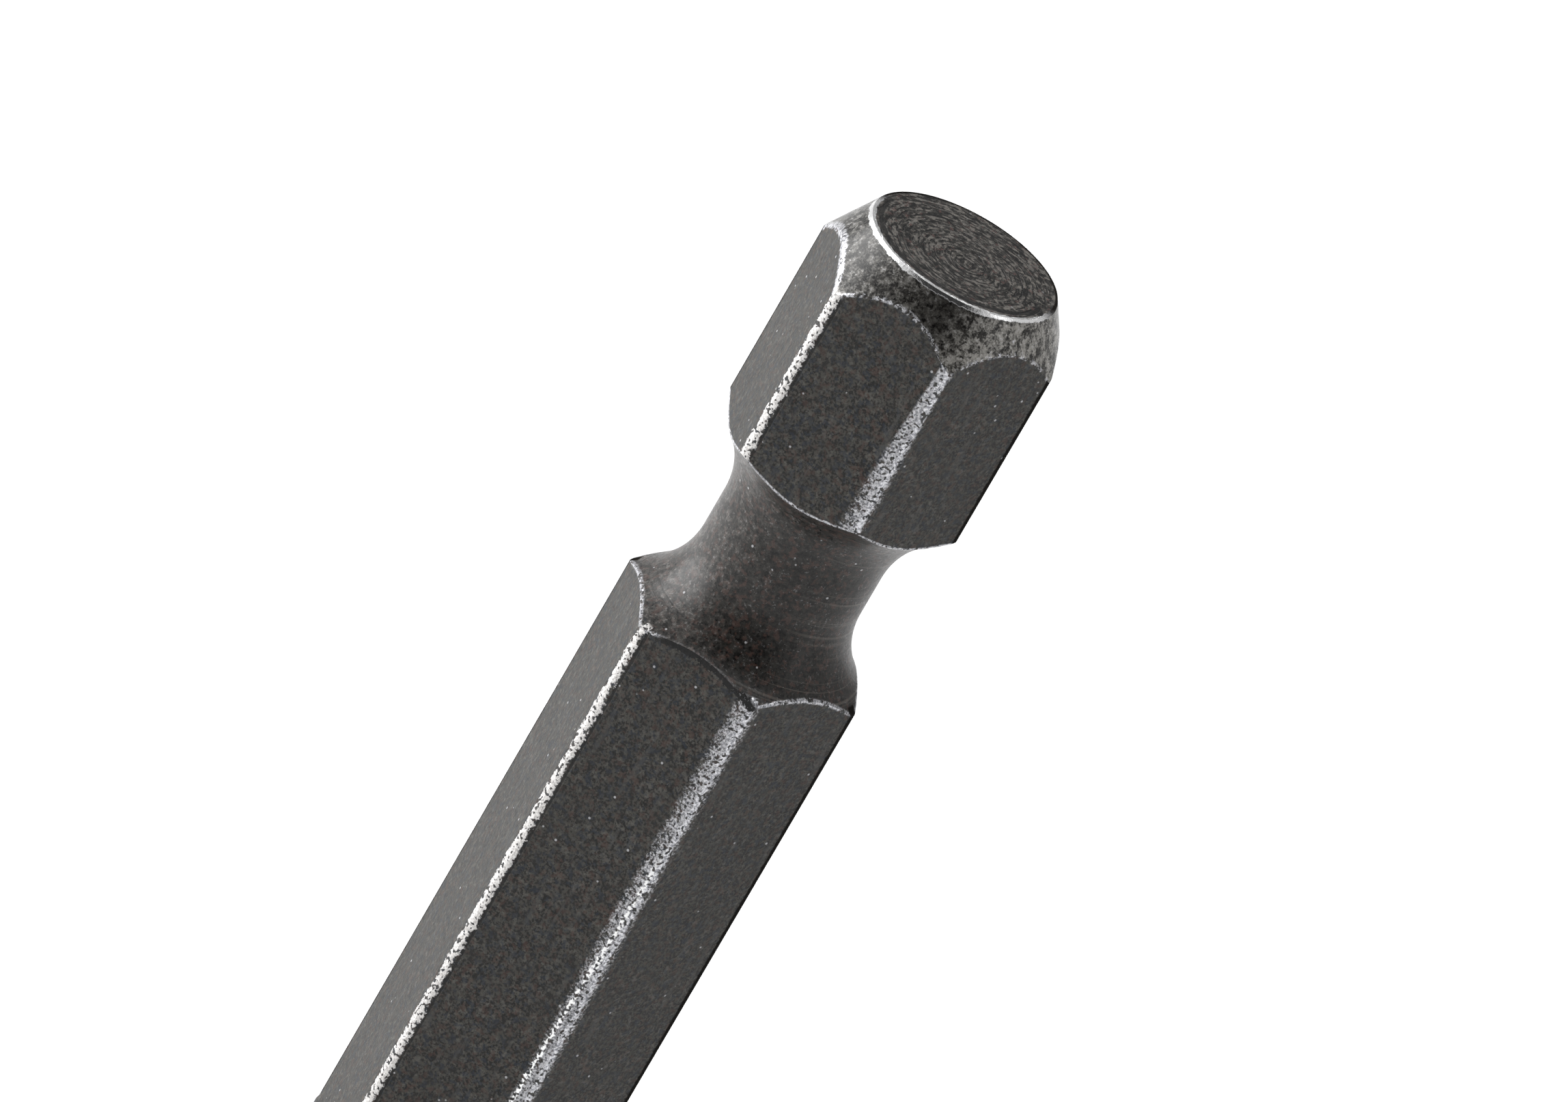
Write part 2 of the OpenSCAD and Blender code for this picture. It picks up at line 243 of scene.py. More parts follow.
def knurledSleeve(low, high, peak, depth, inner, around, rows, crossed=True):
    # A grid spun about the axis whose odd points are pressed in, so that it stands up in diamonds or ridges
    bm = bmesh.new()
    ends = [bm.verts.new((peak, 0, low)), bm.verts.new((peak, 0, high))]
    bmesh.ops.subdivide_edges(bm, edges=[bm.edges.new(ends)], cuts=rows - 1)
    bmesh.ops.spin(bm, geom=bm.verts[:] + bm.edges[:], cent=(0, 0, 0), axis=(0, 0, 1),
                   angle=2 * math.pi, steps=around, use_merge=True)
    bmesh.ops.remove_doubles(bm, verts=bm.verts[:], dist=1e-4)
    pressed = []
    for vert in bm.verts:
        column = round(math.atan2(vert.co.y, vert.co.x) / (2 * math.pi) * around)
        row = round((vert.co.z - low) / (high - low) * rows)
        if row in (0, rows) or (column + (row if crossed else 0)) % 2:
            pressed.append(vert)
    bmesh.ops.scale(bm, vec=((peak - depth) / peak,) * 2 + (1,), verts=pressed)
    if crossed:
        bmesh.ops.connect_verts(bm, verts=pressed)
    rims = [edge for edge in bm.edges if edge.is_boundary]
    made = bmesh.ops.extrude_edge_only(bm, edges=rims)
    inside = [item for item in made["geom"] if isinstance(item, bmesh.types.BMVert)]
    bmesh.ops.scale(bm, vec=(inner / (peak - depth),) * 2 + (1,), verts=inside)
    bmesh.ops.bridge_loops(bm, edges=[edge for edge in bm.edges if edge.is_boundary])
    bmesh.ops.recalc_face_normals(bm, faces=bm.faces[:])
    return bm


def coiledWire(low, high, outer, wire, turns, closed=1.06, sides=10, steps=28):
    # A ring of wire spun up the axis: one closed turn at each end and an even pitch between
    bm = bmesh.new()
    mean = (outer - wire) / 2
    tight = wire * closed
    between = (high - low - wire - 2 * tight) / (turns - 2)
    turned = Matrix.Translation((mean, 0, low + wire / 2)) @ Matrix.Rotation(math.radians(90), 4, "X")
    bmesh.ops.create_circle(bm, cap_ends=False, segments=sides, radius=wire / 2, matrix=turned)
    geom = bm.verts[:] + bm.edges[:]
    for pitch, count in ((tight, 1), (between, turns - 2), (tight, 1)):
        made = bmesh.ops.spin(bm, geom=geom, cent=(0, 0, 0), axis=(0, 0, 1), dvec=(0, 0, pitch / steps),
                              angle=2 * math.pi * count, steps=steps * count)
        geom = made["geom_last"]
    bmesh.ops.remove_doubles(bm, verts=bm.verts[:], dist=1e-4)
    fillHoles(bm)
    return bm


shank = {
    "acrossFlats": 6.35,
    "cornerRound": 0.35,
    "endRadius": 2.70,
    "chamferAngle": 30.36,
    "waistRadius": 2.351,
    "waistDepth": 9.115,      # from the end face
    "waistLength": 1.188,
    "archRadius": 2.65,
    "wallTop": 54.0,
    "wallFoot": 48.4,
    "footFillet": 3.0,
    "filletStart": 3.50,      # radius at which the foot's fillet begins
    "barLength": 29.8,        # end face to the fillet
    "flatRunOut": 1.6,        # how far the flats cut on into the foot
    "footRadius": 6.0,
    "plugRadius": 4.0,
}


def shankFinish():
    f = Finish("phosphatedShank")
    here, (x, y, z) = f.place()
    top = boxMm("drive_shank")[1].z
    flat = shank["acrossFlats"] / 2
    depth = top - z
    radius = f.maths("SQRT", x * x + y * y)
    lean = math.cos(math.pi / 6)
    across = [abs(x * c + y * s) for c, s in ((lean, 0.5), (0.0, 1.0), (lean, -0.5))]
    inset = flat - f.most(*across)  # how far under the flats
    slope = math.radians(shank["chamferAngle"])
    cone = (radius - shank["endRadius"]) * math.cos(slope) - depth * math.sin(slope)
    waist = shank["waistDepth"]
    centre = shank["waistRadius"] + shank["archRadius"]
    beyond = f.most(waist - depth, depth - (waist + shank["waistLength"]), 0.0)
    arch = f.maths("SQRT", (radius - centre) ** 2.0 + beyond * beyond) - shank["archRadius"]
    onEnd = depth < 0.006
    onCone = f.rise(abs(cone), 0.012, 0.006) * (1 - onEnd)
    onGroove = f.rise(abs(arch), 0.012, 0.006) * (depth > 5.0) * (depth < 15.0)
    turned = f.least(onEnd + onCone + onGroove, 1.0)

    # noises at the sizes the surface shows
    fine = f.grain(here, 13.0, 2.0, 0.62)
    crystal = f.grain(here, 6.5, 3.0, 0.68, shift=3.1)
    blotch = f.grain(here, 1.3, 3.0, 0.6, shift=7.7)
    hue = f.grain(here, 6.0, 2.0, 0.6, shift=11.3)
    ragged = f.grain(here, 6.0, 4.0, 0.72, shift=17.0)
    pitting = f.grain(here, 9.5, 1.0, 0.5, shift=23.0)
    fleck = f.cells(here, 2.3)
    fleckSize = f.grain(here, 1.7, 0.0, 0.5, shift=31.0)
    sparkle = f.grain(here, 15.0, 3.0, 0.7, shift=41.0)

    # the flats: dark crystalline coat with a little colour in it
    streak = f.grain(f.join(x * 5.0, y * 5.0, z * 0.45), 1.0, 3.0, 0.6, shift=61.0)
    coat = f.tint(f.rise(fine, 0.40, 0.60), (0.0025, 0.0024, 0.0020), (0.056, 0.053, 0.046))
    coat = f.tint(f.rise(crystal, 0.53, 0.66) * 0.75, coat, (0.100, 0.096, 0.086))
    coat = f.tint(f.rise(crystal, 0.45, 0.33) * 0.85, coat, (0.0015, 0.0015, 0.0015))
    coat = f.tint(f.rise(hue, 0.54, 0.66) * 0.50, coat, (0.066, 0.034, 0.026))
    coat = f.tint(f.rise(hue, 0.46, 0.36) * 0.55, coat, (0.014, 0.022, 0.036))
    coat = f.tint(f.rise(blotch, 0.35, 0.65) * 0.25, coat, (0.034, 0.033, 0.030))
    coat = f.tint(f.rise(streak, 0.56, 0.68) * 0.40, coat, (0.070, 0.068, 0.066))
    specks = f.rise(fleck, 0.105, 0.055) * (fleckSize > 0.54)

    # turned surfaces: a smoother, darker coat with fine rings and worn crystals
    spiral = f.grain(f.join(radius * 10.0, depth * 10.0, 0.5 * f.grain(here, 0.8)), 1.0, 2.0, 0.6)
    thin = f.rise(fine * 0.35 + crystal * 0.65, 0.38, 0.62)
    thin = f.tint(thin, (0.0030, 0.0028, 0.0026), (0.026, 0.0245, 0.022))
    thin = f.tint(f.rise(hue, 0.52, 0.64) * onGroove * 0.6, thin, (0.072, 0.040, 0.032))
    mottle = f.grain(here, 4.5, 4.0, 0.75, shift=47.0)
    turnedLeft = f.rise(x * 0.8 + y * 0.35, 0.2, -2.4)
    turnedRight = f.rise(x * 0.9 - y * 0.2, 1.2, 2.4)
    # painted highlights: lighter mottled patches on the left and right of the chamfer cone and on the left
    # of the groove, where the side lamps light them, with a faint share of the mottle elsewhere on the
    # groove
    mottledHighlight = f.rise(mottle + (sparkle - 0.5) * 0.45 + turnedRight * onCone * 0.03, 0.42, 0.66)
    thin = f.tint(mottledHighlight * onCone * f.least(turnedLeft * 0.62 + turnedRight, 1.0), thin, (0.27, 0.26, 0.24))
    thin = f.tint(mottledHighlight * onGroove * (0.06 + turnedLeft * 0.45), thin, (0.15, 0.137, 0.125))
    worn = f.rise(sparkle + (mottle - 0.5) * 0.7, 0.62, 0.72)
    worn = worn * (onCone * (turnedLeft + turnedRight) * 0.35 + onGroove * 0.12)
    arcRadius = f.maths("SQRT", (x - 0.25) ** 2.0 + (y + 0.35) ** 2.0)  # the end is cut in arcs off centre
    marks = f.maths("SINE", arcRadius * 40.0 + (f.grain(here, 1.3, 3.0, 0.6) - 0.5) * 11.0)
    coarse = f.grain(here, 5.0, 4.0, 0.7, shift=71.0)
    broken = f.grain(here, 3.2, 4.0, 0.75, shift=52.0)
    marks = f.rise(marks + (coarse - 0.5) * 1.2, 0.45, 0.90) * f.rise(broken, 0.46, 0.52) * onEnd
    rings = f.rise(spiral, 0.54, 0.66) * onGroove * turnedRight  # faint cutter lines
    thin = f.tint(rings * 0.5, thin, (0.13, 0.115, 0.10))
    thin = f.tint(onEnd * 0.5, thin, (0.050, 0.047, 0.042))
    lumps = crystal + (coarse - 0.5) * 0.5
    thin = f.tint(f.rise(lumps, 0.50, 0.62) * onEnd * 0.9, thin, (0.150, 0.138, 0.124))
    thin = f.tint(f.rise(lumps, 0.47, 0.36) * onEnd * 0.95, thin, (0.0010, 0.0010, 0.0010))
    arcs = f.grain(f.join(arcRadius * 6.0, x * 1.9, y * 1.9), 1.0, 4.0, 0.7, shift=83.0)
    thin = f.tint(f.rise(arcs, 0.53, 0.61) * onEnd * 0.7, thin, (0.138, 0.129, 0.118))
    thin = f.tint(f.rise(arcs, 0.47, 0.40) * onEnd * 0.95, thin, (0.0015, 0.0015, 0.0015))
    thin = f.tint(marks * 0.95, thin, (0.0018, 0.0018, 0.0018))
    thin = f.tint(f.rise(hue, 0.60, 0.70) * onEnd * 0.7, thin, (0.085, 0.045, 0.040))
    colour = f.tint(turned, coat, thin)

    # corners: worn to bright steel where two flats meet
    def corner(degrees):
        c, s = math.cos(math.radians(degrees)), math.sin(math.radians(degrees))
        return (x * c + y * s) > 3.0, y * c - x * s
    flats = (1 - turned) * (depth < shank["barLength"] + 0.6)
    side, sharp = corner(-120)
    narrow = 0.150 + (ragged - 0.5) * 0.36 + (blotch - 0.5) * 0.26 - abs(sharp - 0.035)
    narrow = f.rise(narrow, -0.014, 0.02) * side
    pits = 1 - f.rise(pitting, 0.56, 0.61) * 0.95
    narrow = narrow * pits
    side, wide = corner(-60)
    lower = f.rise(depth, 18.6, 25.0)
    wide = wide - 0.10 * lower
    broad = 0.16 + 0.24 * f.rise(depth, 1.0, 6.5)
    core = f.rise(0.11 + (ragged - 0.5) * 0.36 - abs(wide - 0.01), -0.03, 0.06) * side
    haze = 0.05 + 0.45 * f.rise(depth, 6.0, 1.5) + (1 - abs(wide + 0.10) / broad) * 0.60
    haze = haze + (sparkle - 0.5) * 1.5 + (ragged - 0.5) * 1.2
    haze = f.rise(haze, 0.05, 0.62) * side * f.rise(abs(wide + 0.10), broad, broad * 0.6)
    line = 0.050 + (ragged - 0.5) * 0.16 - abs(wide + 0.08 + 0.24 * lower + (hue - 0.5) * 0.20)
    line = f.rise(line, -0.010, 0.012) * side * f.rise(depth, 16.8, 18.4)
    line = line * f.rise(pitting + (fine - 0.5) * 0.3, 0.55, 0.49)
    backSide = 0.0
    for degrees in (60, 120):
        side, far = corner(degrees)
        backSide = f.rise(0.10 + (ragged - 0.5) * 0.34 - abs(far), -0.02, 0.03) * side + backSide
    backSide = backSide * pits

    # edges where the turned surfaces break into the flats
    left = f.rise(x + y * 0.2, 0.6, -1.2)
    coneEdge = f.most(abs(cone), inset)
    grooveEdge = f.most(abs(arch), inset)
    facing = f.rise(y, 0.5, -0.5)
    shoulder = f.rise(coneEdge + (ragged - 0.5) * 0.10, 0.055, 0.025) * (depth < 3.0)
    shoulder = shoulder * f.rise(ragged + f.rise(abs(sharp), 0.5, 0.1) * 0.10 + left * 0.02, 0.50, 0.58)
    leftFace = f.rise(x * lean + y * 0.5, -2.9, -3.1)
    leftEdge = f.rise(coneEdge + (ragged - 0.5) * 0.16, 0.095, 0.045) * (depth < 3.0)
    shoulder = f.most(shoulder, leftEdge * leftFace * pits)
    lip = f.rise(grooveEdge + (ragged - 0.5) * 0.05, 0.050, 0.025) * (depth > 5.0) * (depth < 9.7)
    lip = lip * f.rise(fine, 0.36, 0.46)
    middle = f.rise(y, -3.0, -3.1)  # the flat that faces -Y
    onRight = middle * f.rise(x, -1.5, -1.0)
    sill = f.rise(grooveEdge + (ragged - 0.5) * 0.16 + onRight * 0.025, 0.080, 0.035)
    sill = sill * (depth > 9.7) * (depth < 15.0) * f.rise(ragged, 0.42, 0.50) * (1 - onRight * 0.85)
    crack = f.rise(abs(arch - 0.05 - (ragged - 0.5) * 0.35) + (fine - 0.5) * 0.22, 0.085, 0.060)
    crack = crack * (depth > 11.0) * (depth < 15.0) * flats * onRight
    rimGap = f.most(abs(radius - shank["endRadius"]), depth)
    rim = f.rise(rimGap + (ragged - 0.5) * 0.16 + f.rise(x, 1.2, 2.6) * 0.035, 0.12, 0.085) * facing
    shadow = f.rise(abs(shank["endRadius"] - 0.26 - radius), 0.10, 0.05) * onEnd * facing

    bare = f.most(narrow * flats, core * pits * flats, haze * pits * flats * 0.72, backSide * flats * 0.8,
                  shoulder * 0.8, lip * 0.8, sill * 0.85, rim, worn)
    brilliant = f.most(line * flats, rim)
    steel = f.tint(f.rise(sparkle, 0.36, 0.62), (0.26, 0.265, 0.29), (0.80, 0.80, 0.83))
    steel = f.tint(narrow * 0.5, steel, (0.56, 0.53, 0.48))
    steel = f.tint(brilliant, steel, (0.97, 0.97, 0.97))
    dark = f.most(crack, shadow * 0.85,
                  f.rise(abs(sharp - 0.24) + (fine - 0.5) * 0.05, 0.05, 0.02) * flats * (1 - narrow) * 0.7)
    # painted shade: dark matt outlines on the flats beside the corners at +X and -X, and on the back half of
    # the end face's rim
    paintedOutlineShade = f.rise(abs(y) + (fine - 0.5) * 0.06, 0.20, 0.14) * flats
    paintedOutlineShade = f.most(paintedOutlineShade, f.rise(rimGap, 0.09, 0.05) * (1 - facing))
    colour = f.tint(dark, colour, (0.002, 0.002, 0.002))
    colour = f.tint(specks * (1 - onEnd * 0.6) * 0.8, colour, (0.50, 0.50, 0.52))
    bare = f.most(bare * (1 - crack), brilliant)
    colour = f.tint(bare, colour, steel)

    rough = 0.56 + (fine - 0.5) * 0.45 - turned * 0.22 - onCone * 0.09 - bare * 0.12 + onEnd * 0.12
    height = fine * 0.5 + crystal * 0.9 - turned * (fine * 0.40 + crystal * 0.7)
    height = height + (onCone + onGroove) * spiral * 0.4 - dark * 1.2 + bare * ragged * 0.8
    height = height - marks * 2.2 + onEnd * arcs * 4.0
    return f.surface(colour, bare, rough, height, depthMm=0.018, strength=0.8, paintedShadeMask=paintedOutlineShade * 0.95,
                     **{"Specular IOR Level": 0.34})


def blackOxide(name, worn=(), lines=14.0):
    # worn: pairs of (radius, width) where the coat has rubbed through
    f = Finish(name)
    here, (x, y, z) = f.place()
    radius = f.maths("SQRT", x * x + y * y)
    fine = f.grain(here, 12.0, 2.0, 0.6)
    blotch = f.grain(here, 0.7, 3.0, 0.6, shift=5.0)
    cut = f.grain(f.join(radius * lines, z * lines, blotch * 0.4), 1.0, 2.0, 0.65)
    colour = f.tint(f.rise(blotch, 0.35, 0.68), (0.020, 0.021, 0.023), (0.042, 0.041, 0.040))
    colour = f.tint(f.rise(fine, 0.55, 0.75) * 0.5, colour, (0.075, 0.073, 0.072))
    bare = 0.0
    for edge, width in worn:
        rubbed = radius + (fine - 0.5) * width * 1.6 + (blotch - 0.5) * width
        bare = f.rise(rubbed, edge - width, edge) + bare
    metal = 0.55
    rough = 0.36 + (cut - 0.5) * 0.16 + (blotch - 0.5) * 0.18
    if worn:
        bare = f.least(bare, 1.0) * 0.85
        colour = f.tint(bare, colour, (0.50, 0.50, 0.51))
        metal = 0.55 + bare * 0.45
        rough = rough - bare * 0.06
    return f.surface(colour, metal, rough, cut + fine * 0.3, depthMm=0.006, strength=0.5)


def brightSteel(name, light=(0.46, 0.46, 0.47), shade=(0.31, 0.31, 0.32), rough=0.27, lines=18.0,
                across=False):
    f = Finish(name)
    here, (x, y, z) = f.place()
    radius = f.maths("SQRT", x * x + y * y)
    fine = f.grain(here, 16.0, 2.0, 0.6)
    blotch = f.grain(here, 0.9, 3.0, 0.6, shift=9.0)
    if across:
        cut = f.grain(f.join(x * lines, y * 0.8, z * lines), 1.0, 2.0, 0.7)
    else:
        cut = f.grain(f.join(radius * lines, z * lines, blotch * 0.5), 1.0, 2.0, 0.7)
    colour = f.tint(f.rise(cut, 0.3, 0.7), shade, light)
    colour = f.tint(f.rise(blotch, 0.56, 0.74) * 0.4, colour, tuple(part * 0.75 for part in shade))
    wear = rough + (cut - 0.5) * 0.14 + (blotch - 0.5) * 0.12
    return f.surface(colour, 1.0, wear, cut + fine * 0.25, depthMm=0.004, strength=0.5)


def bronzeFinish():
    f = Finish("sinteredBronze")
    here = f.place()[0]
    pores = f.cells(here, 5.5)
    blotch = f.grain(here, 1.1, 3.0, 0.6, shift=4.0)
    colour = f.tint(f.rise(blotch, 0.35, 0.7), (0.58, 0.37, 0.16), (0.44, 0.25, 0.10))
    hole = f.rise(pores, 0.16, 0.08)
    colour = f.tint(hole, colour, (0.10, 0.055, 0.025))
    rough = 0.34 + hole * 0.4 + (blotch - 0.5) * 0.1
    return f.surface(colour, 1.0, rough, 1 - hole, depthMm=0.02, strength=0.6)


def rubberFinish():
    f = Finish("sealRubber")
    here = f.place()[0]
    fine = f.grain(here, 10.0, 3.0, 0.6)
    dust = f.rise(f.grain(here, 2.0, 3.0, 0.6, shift=6.0), 0.55, 0.75)
    colour = f.tint(dust * 0.6, (0.012, 0.012, 0.013), (0.045, 0.043, 0.040))
    return f.surface(colour, 0.0, 0.62 + (fine - 0.5) * 0.2, fine, depthMm=0.02, strength=0.4)


def springFinish():
    f = Finish("oilTemperedWire")
    here = f.place()[0]
    fine = f.grain(here, 14.0, 3.0, 0.6)
    blotch = f.grain(here, 1.6, 3.0, 0.6, shift=2.0)
    colour = f.tint(f.rise(blotch, 0.38, 0.66), (0.20, 0.20, 0.21), (0.33, 0.32, 0.30))
    colour = f.tint(f.rise(fine, 0.6, 0.75) * 0.4, colour, (0.12, 0.09, 0.07))
    return f.surface(colour, 0.95, 0.36 + (fine - 0.5) * 0.2, fine, depthMm=0.006, strength=0.4)


print("stage: finishes")
phosphate = shankFinish()
gripOxide = blackOxide("wornGripOxide", worn=((7.5, 0.09),))
capOxide = blackOxide("wornCapOxide", worn=((8.0, 0.09),))
ringOxide = blackOxide("wornRingOxide", worn=((8.3, 0.10),))
plainOxide = blackOxide("turnedOxide")
screwOxide = blackOxide("screwOxide", lines=6.0)
ground = brightSteel("groundSteel")
pinSteel = brightSteel("rolledPinSteel", rough=0.33, lines=6.0, across=True)
hard = brightSteel("hardenedSteel", (0.38, 0.36, 0.33), (0.24, 0.225, 0.21), rough=0.30, lines=22.0)
bronze = bronzeFinish()
rubber = rubberFinish()
wireSteel = springFinish()


print("stage: drive shank")


def millFlats(bm, cuts):  # planes parallel to the axis, each as a direction and a distance from it
    for degrees, distance in cuts:
        out = Vector((math.cos(math.radians(degrees)), math.sin(math.radians(degrees)), 0))
        bmesh.ops.bisect_plane(bm, geom=bm.verts[:] + bm.edges[:] + bm.faces[:], dist=1e-5,
                               plane_co=out * distance, plane_no=out, clear_outer=True)
        rims = [edge for edge in bm.edges if edge.is_boundary]
        bmesh.ops.holes_fill(bm, edges=rims, sides=0)
    bmesh.ops.recalc_face_normals(bm, faces=bm.faces[:])


def buildShank():
    low, high = boxMm("drive_shank")
    top = high.z
    flat = shank["acrossFlats"] / 2
    cornerRadius = flat / math.cos(math.pi / 6)
    spinRadius = cornerRadius + 0.2
    collar, plug = shank["footRadius"], shank["plugRadius"]
    capTop = boxMm("adjusting_cap")[1].z
    slope = math.tan(math.radians(shank["chamferAngle"]))
    waistTop = top - shank["waistDepth"]
    waistFoot = waistTop - shank["waistLength"]
    arch = shank["archRadius"]
    centre = shank["waistRadius"] + arch
    wallTop, wallFoot = math.radians(shank["wallTop"]), math.radians(shank["wallFoot"])
    topPoint = (centre - arch * math.cos(wallTop), waistTop + arch * math.sin(wallTop))
    footPoint = (centre - arch * math.cos(wallFoot), waistFoot - arch * math.sin(wallFoot))
    fillet, begin = shank["footFillet"], shank["filletStart"]
    hexZ = top - shank["barLength"]

    # hex part: a turned bar with its groove, cut by six flats and by small flats that round each corner
    runOut = shank["flatRunOut"]
    barFoot = hexZ - runOut + 0.05
    bar = Outline(0, barFoot)
    bar.to((spinRadius, barFoot),
           (spinRadius, footPoint[1] - (spinRadius - footPoint[0]) / math.tan(wallFoot)),
           footPoint)
    bar.arc(centre, waistFoot, -shank["wallFoot"], 14)
    bar.to((shank["waistRadius"], waistTop))
    bar.arc(centre, waistTop, -shank["wallTop"], 16)
    bar.to((spinRadius, topPoint[1] + (spinRadius - topPoint[0]) / math.tan(wallTop)),
           (spinRadius, top - (spinRadius - shank["endRadius"]) / slope),
           (shank["endRadius"], top), (0, top))
    bm = bar.spun(192)
    rounding = shank["cornerRound"]
    arm = (flat - rounding) / math.cos(math.pi / 6)
    cuts = [(30 + 60 * k, flat) for k in range(6)]
    for k in range(6):
        for lean in (-20, -10, 0, 10, 20):
            cuts.append((60 * k + lean, arm * math.cos(math.radians(lean)) + rounding))
    millFlats(bm, cuts)

    # where the flats run out into the foot's fillet; its own flats lie just under the bar's
    sweep = math.degrees(math.asin(runOut / fillet))
    wide = begin + fillet * (1 - math.cos(math.radians(sweep)))
    neckFoot = hexZ - runOut - 0.4
    neck = Outline(0, neckFoot)
    neck.to((wide - 0.06, neckFoot), (wide, hexZ - runOut))
    neck.arc(begin + fillet, hexZ, -sweep, 10)
    neck.to((0, hexZ))
    neckBm = neck.spun(192)
    millFlats(neckBm, [(30 + 60 * k, flat - 0.01) for k in range(6)])

    # foot and plug
    foot = Outline(0, low.z)
    foot.to((plug - 0.5, low.z), (plug, low.z + 0.5), (plug, capTop), (collar - 0.25, capTop),
            (collar, capTop + 0.25), (collar, capTop + 1.25), (collar - 0.1, capTop + 1.55),
            (begin + fillet * (1 - math.cos(math.pi / 4)), hexZ - fillet * math.sin(math.pi / 4)))
    foot.arc(begin + fillet, hexZ, sweep - 45, 5)
    footTop = hexZ - runOut + 0.12
    foot.to((flat - 0.02, footTop), (0, footTop))
    for part in (neckBm, foot.spun(128)):
        mesh = bpy.data.meshes.new("shankJoin")
        part.to_mesh(mesh)
        part.free()
        bm.from_mesh(mesh)
        bpy.data.meshes.remove(mesh)
    crispEdges(bm, 9.0)
    finishPiece(bm, "driveShankDetailed", "shank", "phosphate_steel", phosphate, "drive_shank", sharp=None)


buildShank()


print("stage: cap and lock ring")
cap = {"knurlDepth": 0.42, "knurlsAround": 104, "knurlRows": 16, "grooveDepth": 0.5,
       "threadRadius": 6.65, "plugHole": 4.02, "pinHole": 1.02}
ring = {"ridges": 96, "ridgeDepth": 0.40, "threadRadius": 6.65}


def buildCap():
    low, high = boxMm("adjusting_cap")
    outer = high.x
    bandLow, bandHigh = low.z + 2.2, high.z - 5.2
    root = outer - cap["grooveDepth"]
    inner, hub = cap["threadRadius"], cap["plugHole"]
    roof = boxMm("drive_shank")[0].z + 0.75
    body = Outline(inner + 0.4, low.z)
    body.to((outer - 0.5, low.z), (outer, low.z + 0.5), (outer, low.z + 1.3), (outer - 0.1, low.z + 1.4),
            (root, low.z + 1.4), (root, bandHigh + 0.8), (outer - 0.1, bandHigh + 0.8),
            (outer, bandHigh + 0.9), (outer, high.z - 1.0), (outer - 0.12, high.z - 0.72),
            (outer - 1.0, high.z), (hub + 0.23, high.z), (hub, high.z - 0.25),
            (hub, roof), (inner, roof), (inner, low.z + 0.4)).close()
    bm = body.spun(160)
    piece = finishPiece(bm, "adjustingCapBody", "shank", "black_oxide", plainOxide, "adjusting_cap")
    cutter = bmesh.new()
    pinZ = (boxMm("shank_pin")[0].z + boxMm("shank_pin")[1].z) / 2
    turned = Matrix.Translation((0, 0, pinZ * mm)) @ Matrix.Rotation(math.radians(90), 4, "X")
    bmesh.ops.create_cone(cutter, cap_ends=True, segments=48, radius1=cap["pinHole"] * mm,
                          radius2=cap["pinHole"] * mm, depth=20 * mm, matrix=turned)
    holeMesh = bpy.data.meshes.new("pinHole")
    cutter.to_mesh(holeMesh)
    cutter.free()
    hole = bpy.data.objects.new("pinHole", holeMesh)
    scene.collection.objects.link(hole)
    drill = piece.modifiers.new("pinHole", "BOOLEAN")
    drill.operation = "DIFFERENCE"
    drill.solver = "EXACT"
    drill.object = hole
    bpy.context.view_layer.update()
    drilled = bpy.data.meshes.new_from_object(piece.evaluated_get(bpy.context.evaluated_depsgraph_get()))
    piece.modifiers.clear()
    piece.data = drilled
    bpy.data.objects.remove(hole)
    band = knurledSleeve(bandLow, bandHigh, outer, cap["knurlDepth"], root - 0.2,
                         cap["knurlsAround"], cap["knurlRows"])
    finishPiece(band, "adjustingCapKnurl", "shank", "black_oxide", capOxide, sharp=5.0)


def buildRing():
    low, high = boxMm("lock_ring")
    outer, inner = high.x, ring["threadRadius"]
    root = outer - ring["ridgeDepth"] - 0.02
    body = Outline(inner + 0.4, low.z)
    body.to((root - 0.35, low.z), (root, low.z + 0.35), (root, high.z - 0.35), (root - 0.35, high.z),
            (inner + 0.4, high.z), (inner, high.z - 0.4), (inner, low.z + 0.4)).close()
    finishPiece(body.spun(144), "lockRingBody", "ring", "black_oxide", plainOxide, "lock_ring")
    ridges = knurledSleeve(low.z + 0.35, high.z - 0.35, outer, ring["ridgeDepth"], root - 0.3,
                           ring["ridges"], 8, crossed=False)
    finishPiece(ridges, "lockRingRidges", "ring", "black_oxide", ringOxide, sharp=5.0)


buildCap()
buildRing()


print("stage: barrel")
barrel = {"gripStart": 6.0, "gripLength": 36.0, "knurlDepth": 0.38, "knurlsAround": 96, "knurlRows": 42,
          "threadRadius": 6.6, "threadPitch": 1.0, "threadDepth": 0.56,
          "frontBore": 6.2, "rearBore": 5.28, "taperFoot": 60.5, "taperTop": 69.7}


